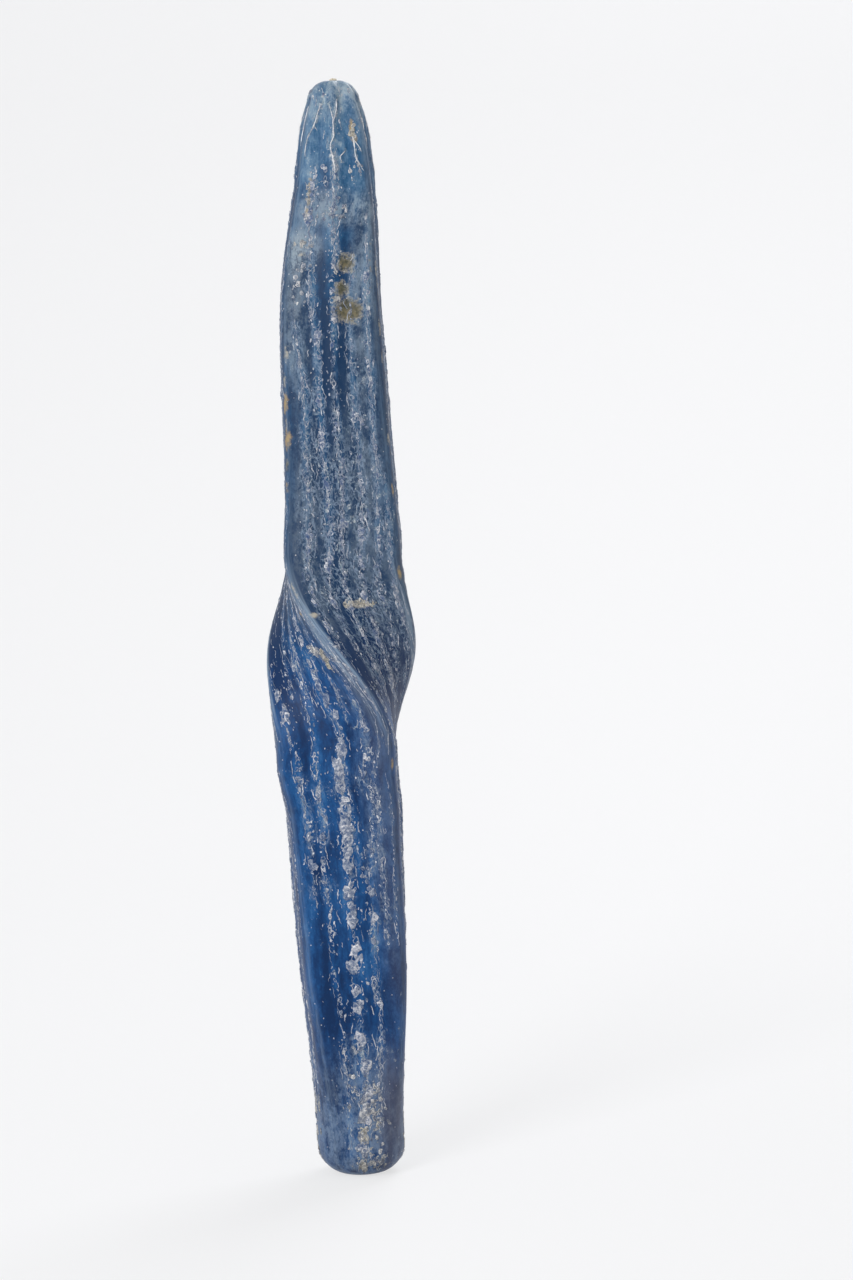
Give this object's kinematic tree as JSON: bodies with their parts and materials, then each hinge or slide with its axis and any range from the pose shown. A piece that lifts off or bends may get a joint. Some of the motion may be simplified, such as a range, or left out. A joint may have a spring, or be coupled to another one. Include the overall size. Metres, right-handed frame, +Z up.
{
  "type": "twisted taper candle",
  "caption": "Thick blue taper candle: a rounded square bar of wax turned a quarter turn at its waist, with a blunt wicked tip and a round foot.",
  "frame": {"origin": "middle of the flat under the foot", "axes": "+Z up the candle from the foot to the tip, -Y the front that the picture shows, +X to the right of that front"},
  "size_m": [0.0376, 0.0374, 0.28],
  "materials": {
    "blue_wax": "dyed blue wax, satin, with long crusty streaks of pale bloom",
    "cream_wax": "undyed cream wax, satin",
    "wick_cotton": "braided cotton, soaked with wax"
  },
  "bodies": {
    "root": {"blue_coat": "blue_wax", "wax_core": "cream_wax", "wick": "wick_cotton"}
  },
  "joints": []
}
